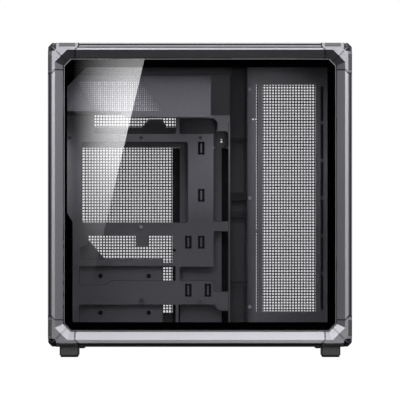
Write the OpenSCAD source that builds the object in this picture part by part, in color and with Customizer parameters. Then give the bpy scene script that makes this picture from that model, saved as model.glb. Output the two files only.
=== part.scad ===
// Open-frame desktop computer case.
// A bevelled aluminium frame of twelve rails and eight corner brackets carries
// perforated sheet panels, a tinted glass side and the sheet-metal chassis inside.
// The glass side faces -Y, the front faces +X, and the origin is on the floor
// below the middle of the frame.

/* [Frame] */
// Length of the frame from rear to front
case_l = 500; // [470:5:560]
// Width of the frame from the glass side to the other side
case_w = 250; // [240:5:280]
// Height of the frame without the feet
case_h = 500; // [490:5:560]
// Height of the feet under the frame
foot_h = 17; // [12:1:30]
// Length and width of a foot
foot_l = 31.5; // [26:0.5:36]
// Distance from the frame's end to a foot
foot_in = 19; // [16:1:26]
// Width of a frame rail, seen from any side
rail_w = 24.5; // [23:0.5:27]
// Outer chamfer of a rail
edge_cut = 7; // [6:0.5:8]
// Distance from a rail's outer face to the ridge where its bevel starts
ridge = 12; // [11:0.5:13]
// Thickness of the lip that a rail has behind its bevel
lip = 4; // [3:0.5:5]
// Wall of a rail
rail_wall = 2.4; // [2:0.2:3]
// Length of a corner bracket's arms
arm = 50; // [46:1:60]
// Step of the joint between a corner bracket and a rail
arm_step = 6; // [3:0.5:8]
// Corner cut of the panel openings
corner_cut = 12.7; // [10:0.1:16]
// Chamfer at the tip of a corner bracket
tip_cut = 12; // [9:0.5:12]
// Width of the split lines in the corner brackets
seam = 1; // [0.6:0.1:1.4]

/* [Panels] */
// Thickness of the sheet steel
sheet = 1.2; // [1:0.1:1.6]
// Thickness of the glass
glass_t = 4; // [3:0.5:5]
// Gap between the glass and the frame
glass_gap = 1.4; // [0.6:0.1:1.5]
// Gap round a panel that pulls off
panel_gap = 0.4; // [0.3:0.1:0.8]
// Width of the black border behind the glass
border_w = 13; // [10:0.5:20]
// Thickness of the black border
border_t = 2.5; // [1.5:0.5:3]
// Diagonal cut in the inner corners of the glass border
border_cut = 1.5; // [0.5:0.5:14]
// The same cut at the rear top corner
border_gusset = 31.5; // [20:0.5:50]
// Width of the glass border along the upper half of the rear edge
border_slim = 4; // [3:0.5:8]
// Thickness of the perforated panels' rims
rim_t = 3; // [2:0.5:4]
// Width of the perforated panels' rims
rim_w = 19; // [14:1:24]
// Pitch of the panels' square holes
vent_pitch = 36; // [30:2:50]
// Width of the panels' square holes
vent_hole = 28; // [18:1:29]
// Length of the connector strip at the front of the top
io_l = 34; // [28:1:44]

/* [Chassis] */
// Space for cables between the motherboard tray and the right panel
cable_space = 29.5; // [28:0.5:36]
// Length of the motherboard tray
tray_l = 289; // [282:1:296]
// Height of the power supply bay
psu_bay_h = 96; // [90:0.5:100]
// Width of the power supply bay, from the shroud to the tray
psu_bay_w = 150.8; // [146:0.2:156]
// Length of the shroud's face
shroud_l = 254.5; // [230:0.5:270]
// Height of the top bracket's hanging edge
top_fold = 27; // [18:1:32]
// Gap between the tray and the side fan bracket, front to back
fan_bracket_gap = 13.8; // [10:0.2:15]
// Width of the cable channel between the tray and the side fan bracket
channel_w = 30; // [26:1:34]
// Gap between the tray and the drive brackets behind it
drive_gap = 8; // [5:0.5:12]

/* [Hidden] */
$fn = 40;
eps = 0.01;
fit = 0.3;
bevel = rail_w - ridge;
lip_in = bevel + lip;
mid_z = foot_h + case_h / 2;
half_l = case_l / 2;
half_w = case_w / 2;
half_h = case_h / 2;
open_l = case_l - 2 * rail_w;
open_w = case_w - 2 * rail_w;
open_h = case_h - 2 * rail_w;

// Faces of the sheet-metal box inside the frame
rear_x = -half_l + bevel;
rear_in = rear_x + sheet;
floor_z = foot_h + bevel + rim_t;
bracket_top = foot_h + case_h - bevel - rim_t - fit;
bracket_z = bracket_top - sheet;
shroud_top = foot_h + case_h - rail_w - top_fold;
shroud_z = foot_h + case_h - rail_w - psu_bay_h;
side_in = half_w - bevel - rim_t;
tray_y = side_in - cable_space;
tray_back = tray_y + sheet;
shroud_y = tray_y - psu_bay_w - sheet;
fan_y = tray_back + fan_bracket_gap;
tray_x1 = rear_in + tray_l;
channel_x1 = tray_x1 + channel_w;
front_in = half_l - rail_w - fit;

// First motherboard screw (rear column, top row) and the board's hole grid
// kx and kz follow the tray's length and the height left under the power supply
kx = tray_l / 289;
kz = (case_h - 2 * rail_w - psu_bay_h) / 355;
board_x = rear_in + 9.5 * kx;
board_z = shroud_z - 30 * kz;
board_cols = [0, 124.46 * kx, 227.33 * kx];
board_rows = [0, -154.94 * kz, -281.94 * kz];
standoff_h = 6.5;
standoff_r = 3.2;
standoff_bore = 1.5;
board_face = tray_y - standoff_h - 1.6;

// Expansion slots
slot_pitch = 20.32 * kz;
slot_z = board_z - 166 * kz;
slot_y0 = board_face - 100;
slot_y1 = board_face + 2;

// Moves what is drawn for the rear, left, bottom octant to any other octant
module octant(sx, sy, sz) {
    translate([0, 0, mid_z])
        mirror([sx > 0 ? 1 : 0, 0, 0])
            mirror([0, sy > 0 ? 1 : 0, 0])
                mirror([0, 0, sz > 0 ? 1 : 0])
                    translate([-half_l, -half_w, -half_h]) children();
}

// Turns X into Y, Y into Z and Z into X, so that one shape serves three sides
module cycle(n) {
    rotate(a = 120 * n, v = [1, 1, 1]) children();
}

// An outline in X and Z, extruded from y to y + t
module wall_y(y, t) {
    translate([0, y + t, 0]) rotate([90, 0, 0]) linear_extrude(t) children();
}

// An outline in Y and Z, extruded from x to x + t
module wall_x(x, t) {
    translate([x, 0, 0]) rotate([90, 0, 90]) linear_extrude(t) children();
}

// An outline in X and Y, extruded from z to z + t
module slab_z(z, t) {
    translate([0, 0, z]) linear_extrude(t) children();
}

module rect(x0, y0, x1, y1) {
    translate([x0, y0]) square([x1 - x0, y1 - y0]);
}

module block(x0, y0, z0, x1, y1, z1) {
    translate([x0, y0, z0]) cube([x1 - x0, y1 - y0, z1 - z0]);
}

// A rectangle with its corners cut at 45 degrees
module cut_rect(x0, y0, x1, y1, c) {
    polygon([
        [x0 + c, y0], [x1 - c, y0], [x1, y0 + c], [x1, y1 - c],
        [x1 - c, y1], [x0 + c, y1], [x0, y1 - c], [x0, y0 + c]
    ]);
}

// The outline of a panel opening of size a by b round (0, y), drawn smaller by inset
module opening(a, b, y, inset) {
    cut_rect(-a / 2 + inset, y - b / 2 + inset, a / 2 - inset, y + b / 2 - inset,
        corner_cut - (2 - sqrt(2)) * inset);
}

// A grid of square holes, centred in the rectangle that it stays inside
module vent_grid(x0, y0, x1, y1, pitch, hole) {
    columns = floor((x1 - x0 - hole) / pitch);
    rows = floor((y1 - y0 - hole) / pitch);
    start_x = (x0 + x1 - columns * pitch) / 2;
    start_y = (y0 + y1 - rows * pitch) / 2;
    for (i = [0 : columns], j = [0 : rows])
        translate([start_x + i * pitch, start_y + j * pitch]) square(hole, center = true);
}

// Section of a rail, with its outer corner at the origin
module rail_section() {
    polygon([
        [edge_cut, 0], [ridge, 0], [rail_w, bevel], [rail_w, lip_in], [lip_in, lip_in],
        [lip_in, rail_w], [bevel, rail_w], [0, ridge], [0, edge_cut]
    ]);
}

// Section of the bore that runs through a rail, drawn smaller by inset
module bore_section(inset) {
    w = rail_wall + inset;
    k = w * sqrt(2);
    polygon([
        [edge_cut + k - w, w], [ridge - k + w, w], [lip_in - w, lip_in - w - ridge + k],
        [lip_in - w, lip_in - w], [lip_in - w - ridge + k, lip_in - w],
        [w, ridge - k + w], [w, edge_cut + k - w]
    ]);
}

// The step at a rail's end, as an outline in the length and in the height
module rail_step() {
    polygon([
        [-1, -1], [arm + seam, -1], [arm + seam, edge_cut], [arm - arm_step + seam, ridge],
        [arm - arm_step + seam, rail_w + 1], [-1, rail_w + 1]
    ]);
}

module rail_end() {
    intersection() {
        translate([0, rail_w + 1, 0]) rotate([90, 0, 0]) linear_extrude(rail_w + 2) rail_step();
        translate([0, 0, -1]) linear_extrude(rail_w + 2) rail_step();
    }
}

// A rail of the given length along X, measured between the case's outer faces
module rail(length) {
    color("#b9babf") difference() {
        translate([arm - arm_step + seam, 0, 0]) rotate([90, 0, 90])
            linear_extrude(length - 2 * (arm - arm_step + seam)) difference() {
                rail_section();
                bore_section(0);
                translate([edge_cut / 2, edge_cut / 2]) rotate(-45)
                    square([3.4, 2.4], center = true);
            }
        rail_end();
        translate([length, 0, 0]) mirror([1, 0, 0]) rail_end();
    }
}

module rail_x(sy, sz) { octant(-1, sy, sz) rail(case_l); }
module rail_y(sx, sz) { octant(sx, -1, sz) mirror([1, -1, 0]) rail(case_w); }
module rail_z(sx, sy) { octant(sx, sy, -1) mirror([1, 0, -1]) rail(case_h); }

module rail_top_left() { rail_x(-1, 1); }
module rail_top_right() { rail_x(1, 1); }
module rail_bottom_left() { rail_x(-1, -1); }
module rail_bottom_right() { rail_x(1, -1); }
module rail_rear_left() { rail_z(-1, -1); }
module rail_rear_right() { rail_z(-1, 1); }
module rail_front_left() { rail_z(1, -1); }
module rail_front_right() { rail_z(1, 1); }
module rail_top_rear() { rail_y(-1, 1); }
module rail_top_front() { rail_y(1, 1); }
module rail_bottom_rear() { rail_y(-1, -1); }
module rail_bottom_front() { rail_y(1, -1); }

// The bevelled well of the opening in the side at z = 0, one quarter of it
module well() {
    s = 2 * arm;
    intersection() {
        translate([0, s, 0]) rotate([90, 0, 0]) linear_extrude(s) well_side();
        mirror([1, -1, 0]) translate([0, s, 0]) rotate([90, 0, 0]) linear_extrude(s) well_side();
        rotate(45) translate([0, s, 0]) rotate([90, 0, 0]) linear_extrude(2 * s) polygon([
            [(2 * ridge + corner_cut + (2 - sqrt(2)) * bevel) / sqrt(2) - 1, -1],
            [(2 * rail_w + corner_cut) / sqrt(2), bevel],
            [(2 * rail_w + corner_cut) / sqrt(2), lip_in + eps],
            [2 * s, lip_in + eps], [2 * s, -1]
        ]);
    }
}

module well_side() {
    polygon([
        [ridge - 1, -1], [rail_w, bevel], [rail_w, lip_in + eps],
        [2 * arm, lip_in + eps], [2 * arm, -1]
    ]);
}

// The split line across the corner of the side at z = 0
module corner_seam() {
    k = (2 * ridge + corner_cut + (2 - sqrt(2)) * bevel) / sqrt(2);
    rotate(45) translate([0, seam / 2, 0]) rotate([90, 0, 0]) linear_extrude(seam) polygon([
        [(tip_cut + 2) * sqrt(2), -1], [k + 1, -1], [k + bevel + 2, bevel], [k + bevel, bevel + 2],
        [k - 1.2, 2.4], [(tip_cut + 2) * sqrt(2), 2.4]
    ]);
}

// The joint with a rail along X, as the part of the corner that the rail takes
module corner_step() {
    polygon([
        [arm, edge_cut], [arm - arm_step, ridge], [arm - arm_step, arm + 1],
        [arm + 1, arm + 1], [arm + 1, edge_cut]
    ]);
}

pad_x0 = 18.6;
pad_x1 = arm - 5;
pad_w = edge_cut * sqrt(2) - 1.6;

// A pad on the outer chamfer of an arm along X
module edge_pad(grow) {
    translate([pad_x0 - grow, edge_cut / 2, edge_cut / 2]) rotate([45, 0, 0])
        translate([0, -pad_w / 2 - grow, -0.8])
            cube([pad_x1 - pad_x0 + 2 * grow, pad_w + 2 * grow, 1.4]);
}

module corner() {
    color("#b4b5ba") difference() {
        union() {
            difference() {
                cube(arm);
                translate([lip_in, lip_in, lip_in]) cube(arm);
                for (n = [0 : 2]) cycle(n) {
                    well();
                    translate([-1, arm + 1, 0]) rotate([90, 0, 0])
                        linear_extrude(arm + 2) translate([1, 0]) corner_step();
                    translate([0, 0, -1]) linear_extrude(arm + 2) corner_step();
                }
            }
            for (n = [0 : 2]) cycle(n) translate([arm - arm_step - 4, 0, 0]) rotate([90, 0, 90])
                linear_extrude(14) bore_section(fit);
        }
        for (n = [0 : 2]) cycle(n) {
            translate([-1, 0, 0]) rotate([90, 0, 90]) linear_extrude(2 * arm)
                polygon([[-1, -1], [edge_cut + 1, -1], [-1, edge_cut + 1]]);
            translate([-1, 0, 0]) rotate([90, 0, 90]) linear_extrude(tip_cut + 2.5)
                polygon([[-1, -1], [tip_cut + 1, -1], [-1, tip_cut + 1]]);
            corner_seam();
            edge_pad(0.15);
        }
    }
}

module corner_top_rear_left() { octant(-1, -1, 1) corner(); }
module corner_top_rear_right() { octant(-1, 1, 1) corner(); }
module corner_top_front_left() { octant(1, -1, 1) corner(); }
module corner_top_front_right() { octant(1, 1, 1) corner(); }
module corner_bottom_rear_left() { octant(-1, -1, -1) corner(); }
module corner_bottom_rear_right() { octant(-1, 1, -1) corner(); }
module corner_bottom_front_left() { octant(1, -1, -1) corner(); }
module corner_bottom_front_right() { octant(1, 1, -1) corner(); }

// Pads on the outer chamfers of the corner brackets, proud of the recesses they sit in
module edge_pads() {
    color("#6d6e74") for (sx = [-1, 1], sy = [-1, 1], sz = [-1, 1]) octant(sx, sy, sz)
        for (n = [0 : 2]) cycle(n) translate([0, 0, 0]) edge_pad(0);
}

// Feet, each a ribbed block with a soft pad under it
foot_pad_t = 3;

module foot_outline(inset) {
    r = 4;
    translate([foot_in, edge_cut + 0.5]) hull_free_rect(foot_l, foot_l, r, inset);
}

module hull_free_rect(a, b, r, inset) {
    difference() {
        translate([inset, inset]) square([a - 2 * inset, b - 2 * inset]);
        for (i = [0, 1], j = [0, 1]) translate([i ? a - inset : inset, j ? b - inset : inset])
            rotate(45) square(r, center = true);
    }
}

module foot() {
    color("#4b4c50") difference() {
        translate([0, 0, foot_pad_t - foot_h]) linear_extrude(foot_h - foot_pad_t) foot_outline(0);
        for (i = [0 : 3]) translate([foot_in + foot_l * (i + 1) / 5, edge_cut, 0])
            cube([1.6, 2.2, 2 * foot_h], center = true);
    }
}

module foot_rear_left() { octant(-1, -1, -1) foot(); }
module foot_rear_right() { octant(-1, 1, -1) foot(); }
module foot_front_left() { octant(1, -1, -1) foot(); }
module foot_front_right() { octant(1, 1, -1) foot(); }

module foot_pads() {
    color("#1d1d1f") for (sx = [-1, 1], sy = [-1, 1]) octant(sx, sy, -1)
        translate([0, 0, -foot_h]) linear_extrude(foot_pad_t) foot_outline(1.5);
}

// Glass side
glass_back = -half_w + bevel + glass_t;
border_back = glass_back + border_t;
catch_t = 1.5;
catch_w = 26;
catch_at = open_h / 2 - 110;
catches = [[-1, -catch_at], [-1, -62], [1, -catch_at], [1, catch_at]];

module glass_pane() {
    color("#3a3b40") wall_y(-half_w + bevel, glass_t) opening(open_l, open_h, mid_z, glass_gap);
}

// Four steel strips behind the glass, with a narrow gap at each joint
module glass_border() {
    i = glass_gap + 1;
    a = open_l / 2 - i;
    b = open_h / 2 - i;
    a1 = a - border_w;
    a2 = a - border_slim;
    z0 = mid_z - b + border_w;
    z1 = mid_z + b - border_w;
    c = border_cut;
    g = border_gusset;
    color("#0d0d0f") wall_y(glass_back, border_t) difference() {
        opening(open_l, open_h, mid_z, i);
        polygon([
            [-a1, z0 + c], [-a1 + c, z0], [a1 - c, z0], [a1, z0 + c], [a1, z1 - c], [a1 - c, z1],
            [-a2 + g, z1], [-a2, z1 - g], [-a2, mid_z - 30], [-a1, mid_z - 45]
        ]);
        for (s = [-1, 1], z = [z0, z1]) translate([s * (a - border_w / 2), z])
            square([border_w + 2 + 2 * (s < 0 && z == z1 ? g : c), 0.3], center = true);
    }
}

// Steel plates on the border, held by the magnets in the catch blocks
module catch_plates() {
    i = glass_gap + 1;
    color("#8d8e92") for (p = catches)
        translate([p[0] * (open_l / 2 - i - border_w / 2), border_back, mid_z + p[1]])
            block(-border_w / 2 + 1, 0, -catch_w / 2, border_w / 2 - 1, catch_t, catch_w / 2);
}

module catch_blocks() {
    y0 = border_back + catch_t;
    color("#2b2c2f") for (p = catches) mirror([p[0] > 0 ? 1 : 0, 0, 0]) translate([0, 0, mid_z + p[1]])
        difference() {
            translate([0, 0, -catch_w / 2]) linear_extrude(catch_w) polygon([
                [-half_l + lip_in + 1, -half_w + lip_in],
                [-half_l + rail_w - 0.5, -half_w + lip_in],
                [-half_l + rail_w - 0.5, y0],
                [-half_l + rail_w + border_w + 1, y0],
                [-half_l + rail_w + border_w + 1, y0 + 5],
                [-half_l + lip_in + 1, y0 + 5]
            ]);
            translate([-half_l + rail_w + border_w / 2 + 1, y0 + 5.5, 0])
                rotate([90, 0, 0]) cylinder(h = 3, r = 3);
        }
}

// Perforated panels: a flat sheet with a rim folded back on itself round the edge
module panel_face(a, b, y) {
    opening(a, b, y, panel_gap);
}

module vents(a, b, y) {
    m = rim_w + 8;
    vent_grid(-a / 2 + m, y - b / 2 + m, a / 2 - m, y + b / 2 - m, vent_pitch, vent_hole);
}

module rim(a, b, y) {
    difference() {
        opening(a, b, y, panel_gap);
        rect(-a / 2 + rim_w, y - b / 2 + rim_w, a / 2 - rim_w, y + b / 2 - rim_w);
    }
}

module right_panel() {
    color("#47484c") {
        wall_y(half_w - bevel - sheet, sheet) difference() {
            panel_face(open_l, open_h, mid_z);
            vents(open_l, open_h, mid_z);
        }
        wall_y(half_w - bevel - rim_t, rim_t) rim(open_l, open_h, mid_z);
    }
}

// The top opening is shared by the lift-off panel and the connector strip
io_x = open_l / 2 - io_l;
top_z = foot_h + case_h - bevel;

module top_half(x0, x1) {
    intersection() {
        opening(open_l, open_w, 0, panel_gap);
        rect(x0, -half_w, x1, half_w);
    }
}

module top_panel() {
    m = rim_w + 8;
    color("#47484c") {
        slab_z(top_z - sheet, sheet) difference() {
            top_half(-half_l, io_x - panel_gap);
            vent_grid(-open_l / 2 + m, -open_w / 2 + m, io_x - m, open_w / 2 - m, vent_pitch, vent_hole);
        }
        slab_z(top_z - rim_t, rim_t) difference() {
            top_half(-half_l, io_x - panel_gap);
            rect(-open_l / 2 + rim_w, -open_w / 2 + rim_w, io_x - rim_w, open_w / 2 - rim_w);
        }
    }
}

module front_panel() {
    x = half_l - bevel;
    color("#47484c") {
        wall_x(x - sheet, sheet) difference() {
            panel_face(open_w, open_h, mid_z);
            vents(open_w, open_h, mid_z);
        }
        wall_x(x - rim_t, rim_t) rim(open_w, open_h, mid_z);
    }
}

module bottom_panel() {
    color("#47484c") {
        slab_z(foot_h + bevel, sheet) difference() {
            panel_face(open_l, open_w, 0);
            vents(open_l, open_w, 0);
        }
        slab_z(foot_h + bevel, rim_t) rim(open_l, open_w, 0);
    }
}

// Rear sheet with the connector cut-out, the slots, a fan vent and the power supply cut-out
io_z1 = board_z + 8 * kz;
io_z0 = io_z1 - 158.75 * kz;
fan_c = [(board_face - 46.45 - open_w / 2) / 2, board_z - 52 * kz];
psu_c = [(shroud_y + sheet + tray_y) / 2, (shroud_z + foot_h + case_h - rail_w) / 2];

module rear_panel() {
    color("#3f4044") wall_x(rear_x, sheet) difference() {
        opening(open_w, open_h, mid_z, fit);
        rect(board_face - 44.45 - 2, io_z0, board_face - 2, io_z1);
        for (i = [0 : 6]) rect(slot_y0 + 10, slot_z - i * slot_pitch - 6.5 * kz,
            slot_y1 - 8, slot_z - i * slot_pitch + 6.5 * kz);
        translate(fan_c) {
            vent_grid(-50, -50, 50, 50, 20, 15);
            for (i = [-1, 1], j = [-1, 1]) translate([i * 52.5, j * 52.5]) circle(r = 2.2);
        }
        translate(psu_c) rect(-66, -36, 66, 36);
        for (i = [-1, 1], j = [-1, 1]) translate(psu_c) translate([i * 69, j * 32]) circle(r = 2);
    }
}

// Slot covers, behind the rear sheet, each with a bent foot for its screw
cover_h = 18.4 * kz;

module slot_cover(i) {
    color("#5a5b60") translate([rear_in, 0, slot_z - i * slot_pitch]) difference() {
        union() {
            block(0, slot_y0, -cover_h / 2, 1, slot_y1, cover_h / 2);
            block(0, slot_y0 - 1, -cover_h / 2, 12, slot_y0, cover_h / 2);
        }
        translate([7, slot_y0 - 2, 0]) rotate([-90, 0, 0]) cylinder(h = 3, r = 1.9);
        for (k = [0 : 3]) block(-1, slot_y0 + 22 + k * 18, -2.5, 2, slot_y0 + 32 + k * 18, 2.5);
    }
}

module slot_cover_1() { slot_cover(0); }
module slot_cover_2() { slot_cover(1); }
module slot_cover_3() { slot_cover(2); }
module slot_cover_4() { slot_cover(3); }
module slot_cover_5() { slot_cover(4); }
module slot_cover_6() { slot_cover(5); }
module slot_cover_7() { slot_cover(6); }

module slot_screws() {
    color("#1f2023") for (i = [0 : 6])
        translate([rear_in + 7, slot_y0 - 1, slot_z - i * slot_pitch]) rotate([90, 0, 0])
            difference() {
                union() {
                    cylinder(h = 3, r = 3.4);
                    translate([0, 0, -4]) cylinder(h = 5, r = 1.6);
                }
                translate([0, 0, 2.5]) cube([4.6, 0.9, 2], center = true);
                translate([0, 0, 2.5]) cube([0.9, 4.6, 2], center = true);
            }
}

// Motherboard tray. Lengths on it are for a tray 289 long, and follow the tray's size.
tray_z0 = foot_h + lip_in + fit;
tray_z1 = bracket_z;

function tx(a) = rear_in + a * kx;
function tz(b) = board_z + b * kz;

module round_rect(x0, y0, x1, y1, r) {
    rect(x0 + r, y0, x1 - r, y1);
    rect(x0, y0 + r, x1, y1 - r);
    for (x = [x0 + r, x1 - r], y = [y0 + r, y1 - r]) translate([x, y]) circle(r = r);
}

module tie_slot(x, z) {
    for (s = [-1, 1]) translate([x + s * 3.6, z]) square([3.2, 21.5], center = true);
    for (s = [-1, 1], t = [-1, 1]) translate([x + s * 2.9, z + t * 9.5]) square([4.6, 2.5], center = true);
}

module tray_outline() {
    difference() {
        rect(rear_in, tray_z0, tray_x1, tray_z1);
        // Notches round the rails behind it
        for (h = [foot_h - 1, foot_h + case_h - rail_w - fit])
            rect(rear_in - 1, h, -half_l + lip_in + fit, h + rail_w + 1 + fit);
        // Opening behind the power supply and under it, and the cable opening beside it
        round_rect(tx(53), tz(7.5), tx(194), shroud_z + psu_bay_h - 10, 3);
        polygon([
            [tx(201.5), tz(7.5)], [tx(258), tz(7.5)], [tx(266), tz(14)], [tx(266), tz(27)],
            [tx(260), tz(33)], [tx(201.5), tz(33)]
        ]);
        // Cooler cut-out
        round_rect(tx(31.5), tz(-147), tx(215), tz(-7.5), 4);
        // Slots along the cable channel
        round_rect(tx(260.5), tz(-17), tx(285), tz(11), 5);
        round_rect(tx(260.5), tz(-145), tx(285), tz(-18.5), 2);
        round_rect(tx(260.5), tz(-267), tx(285), tz(-163), 2);
        round_rect(tx(201.5), tz(-248), tx(264), tz(-225), 2);
        // Window below the middle row of screws
        polygon([
            [tx(32), tz(-210.5)], [tx(171), tz(-210.5)], [tx(171), tz(-217)],
            [tx(188.5), tz(-217)], [tx(188.5), tz(-170.5)],
            [tx(146), tz(-170.5)], [tx(146), tz(-188)], [tx(124.5), tz(-188)],
            [tx(124.5), tz(-170.5)], [tx(42.5), tz(-170.5)], [tx(42.5), tz(-188)],
            [tx(29), tz(-191.5)]
        ]);
        // Openings in front of the drive brackets
        polygon([
            [tx(27), tz(-223.5)], [tx(193.5), tz(-223.5)], [tx(193.5), tz(-248)], [tx(83), tz(-248)],
            [tx(72), tz(-255.5)], [tx(27), tz(-255.5)]
        ]);
        rect(tx(27), tz(-321), tx(193.5), tz(-290.5));
        polygon([
            [tx(199.5), tz(-321)], [tx(285), tz(-321)], [tx(285), tz(-301)], [tx(266), tz(-301)],
            [tx(262), tz(-290.5)], [tx(199.5), tz(-290.5)]
        ]);
        for (p = [[238.5, -18], [238.5, -100], [216, -181.5], [238.5, -181.5], [216, -265], [250, -265]])
            tie_slot(tx(p[0]), tz(p[1]));
        for (a = board_cols, b = board_rows) translate([board_x + a, board_z + b]) circle(r = 1.9);
        translate([tx(192), tz(-195.5)]) circle(r = 2.2);
        translate([tx(246), tz(22)]) circle(r = 1.6);
    }
}

// The sheet, with the hemmed edge beside the cable channel
module motherboard_tray() {
    color("#55565b") {
        wall_y(tray_y, sheet) tray_outline();
        block(tray_x1 - 3.6, tray_y - 1.4, tray_z0, tray_x1, tray_y + eps, shroud_z - 4);
    }
}

module standoffs() {
    color("#808186") for (a = board_cols, b = board_rows)
        translate([board_x + a, tray_y, board_z + b]) rotate([90, 0, 0]) difference() {
            cylinder(h = standoff_h, r = standoff_r, $fn = 6);
            translate([0, 0, 1]) cylinder(h = standoff_h, r = standoff_bore);
        }
}

// Power supply bay: an upright shroud, a shelf under it and a bracket above
shroud_x1 = rear_in + shroud_l;
shelf_t = sheet;
step_z = 10;
step_x = rear_in + shroud_l * 0.44;

module psu_shroud() {
    color("#5b5c61") wall_y(shroud_y, sheet) difference() {
        polygon([
            [rear_in, shroud_z + step_z], [step_x - 10, shroud_z + step_z],
            [step_x, shroud_z], [shroud_x1, shroud_z], [shroud_x1, shroud_top],
            [rear_in, shroud_top]
        ]);
        for (j = [0 : 3], i = [0 : 7 - j]) translate([rear_in + 35 + i * 12, shroud_top - 10 - j * 12])
            square(7.5, center = true);
        for (j = [0, 1], i = [0, 1]) translate([shroud_x1 - 19 + i * 9, shroud_top - 6 - j * 8])
            square(5, center = true);
    }
}

module psu_shelf() {
    color("#4a4b50") slab_z(shroud_z + step_z, shelf_t) difference() {
        rect(rear_in, shroud_y + sheet, shroud_x1, tray_y);
        rect(rear_in + 60, tray_y - 40, shroud_x1 - 60, tray_y - 14);
        for (i = [0 : 8]) translate([rear_in + 30 + i * 23, shroud_y + 50])
            square([12, 46], center = true);
    }
}

// Plate above the bay, with rails for top fans and an edge that hangs over the shroud
module top_bracket() {
    color("#46474b") {
        slab_z(bracket_z, sheet) difference() {
            opening(open_l, open_w, 0, fit);
            rect(rear_in + 24, shroud_y + 14, front_in - io_l - 16, tray_y - 16);
            for (s = [0, 1], i = [0 : 5]) translate([
                rear_in + 44 + i * 64, s ? tray_y - 8 : shroud_y + 7
            ]) square([40, 4.4], center = true);
            rect(front_in - io_l + 2, -76, front_in - 5, 66);
        }
        block(-front_in, shroud_y, shroud_top + fit, tray_x1, shroud_y + sheet, bracket_z + eps);
    }
}

// Bracket for fans beside the right panel
win_x0 = channel_x1 + 26;
win_x1 = front_in - 23.5;
win_z0 = mid_z - half_h + 47;
win_z1 = mid_z + half_h - 57.5;

module side_fan_bracket() {
    h = win_z1 - win_z0;
    color("#525358") wall_y(fan_y, sheet) difference() {
        rect(channel_x1, tray_z0, front_in, tray_z1);
        rect(win_x0, win_z0, win_x1, win_z1);
        rect(win_x0 - 10.8, win_z0, win_x0 - 7.4, win_z0 + h * 0.35);
        rect(win_x0 - 10.8, win_z0 + h * 0.35 + 5, win_x0 - 7.4, win_z1);
        for (i = [0 : 5]) rect(win_x1 + 9, win_z0 + h * i / 6 + 3, win_x1 + 14, win_z0 + h * (i + 1) / 6 - 3);
        for (k = [0.02, 0.5, 0.98]) translate([channel_x1 + 4, win_z0 + h * k]) circle(r = 1.8);
        rect(channel_x1 + 8, win_z1 - 62, channel_x1 + 18, win_z1 - 59);
    }
}

module fan_bracket_screws() {
    h = win_z1 - win_z0;
    color("#b9babd") for (k = [0.02, 0.5, 0.98])
        translate([channel_x1 + 4, fan_y, win_z0 + h * k]) rotate([90, 0, 0]) {
            cylinder(h = 1.8, r = 3);
            translate([0, 0, -4]) cylinder(h = 4.5, r = 1.6);
        }
}

// Channel for cables between the tray and the fan bracket, open towards the glass
module channel_section() {
    x0 = tray_x1 + 0.1;
    x1 = channel_x1 - 0.1;
    polygon([
        [x0, tray_back + fit], [x0 + sheet, tray_back + fit], [x0 + sheet, fan_y],
        [x1 - sheet, fan_y], [x1 - sheet, tray_back + fit], [x1, tray_back + fit],
        [x1, fan_y + sheet], [x0, fan_y + sheet]
    ]);
}

module cable_channel() {
    color("#26272a") translate([0, 0, tray_z0])
        linear_extrude(tray_z1 - tray_z0) channel_section();
}

// Straps across the channel, seated on its edges
module cable_straps() {
    color("#1c1d20") for (k = [[0.7, 6], [0.48, 14], [0.42, 9], [0.17, 5]])
        translate([0, 0, tray_z0 + (tray_z1 - tray_z0) * k[0]]) union() {
            block(tray_x1 + 0.2, tray_back + fit - 2, 0, channel_x1 - 0.2, tray_back + fit, k[1]);
            block(tray_x1 + channel_w * 0.62, tray_back + fit - 3.2, 1, tray_x1 + channel_w * 0.78,
                tray_back + fit - 1, k[1] - 1);
        }
}

// Cover behind the tray: a crossbar with one tall leg beside the channel, its rear edge stepped
cover_z0 = tz(-17);
cover_z1 = tz(19);

module cable_cover() {
    x0 = tx(188);
    x1 = tx(201);
    x2 = tx(274);
    x3 = tray_x1 + 0.1;
    y = fan_y + 12;
    color("#47484c") {
        translate([0, 0, tray_z0]) linear_extrude(cover_z0 + eps - tray_z0) polygon([
            [x0, y], [x1, y], [x1, fan_y], [x2, fan_y], [x2, y], [x3, y], [x3, y + sheet],
            [x2 - sheet, y + sheet], [x2 - sheet, fan_y + sheet], [x1 + sheet, fan_y + sheet],
            [x1 + sheet, y + sheet], [x0, y + sheet]
        ]);
        wall_y(fan_y, sheet) difference() {
            union() {
                rect(tx(30), cover_z0, x3, cover_z1);
                rect(tx(197), cover_z1 - eps, x3, tz(40));
                polygon([[tx(135), cover_z1 - eps], [tx(177), cover_z1 - eps],
                    [tx(171), tz(33)], [tx(147), tz(33)]]);
            }
            translate([tx(273), tz(-5)]) circle(r = 3);
        }
    }
}

// Brackets for 2.5 inch drives behind the tray, each on four posts
module drive_bracket(z0, z1, post_z0, post_z1, ear) {
    y = tray_back + drive_gap;
    color("#4c4d52") {
        wall_y(y, sheet) difference() {
            union() {
                rect(tx(24), z0, tx(171), z1);
                // Slanted ear, seen in the corner of the tray's window
                if (ear > 0) polygon([
                    [tx(24), z1 - 1], [tx(74), z1 - 1], [tx(38), z1 + ear], [tx(24), z1 + ear]
                ]);
            }
            for (x = [tx(63), tx(147)]) translate([x, (z0 + z1) / 2]) circle(r = 1.3);
        }
        for (x = [tx(33), tx(161)], z = [post_z0, post_z1])
            translate([x, y + eps, z]) rotate([90, 0, 0]) cylinder(h = drive_gap + eps, r = 3);
        // Raised rings round the drive screws' holes
        for (x = [tx(63), tx(147)]) translate([x, y + eps, (z0 + z1) / 2]) rotate([90, 0, 0])
            difference() {
                cylinder(h = 1.2, r = 3.6);
                translate([0, 0, -1]) cylinder(h = 4, r = 2.4);
            }
    }
}

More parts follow.
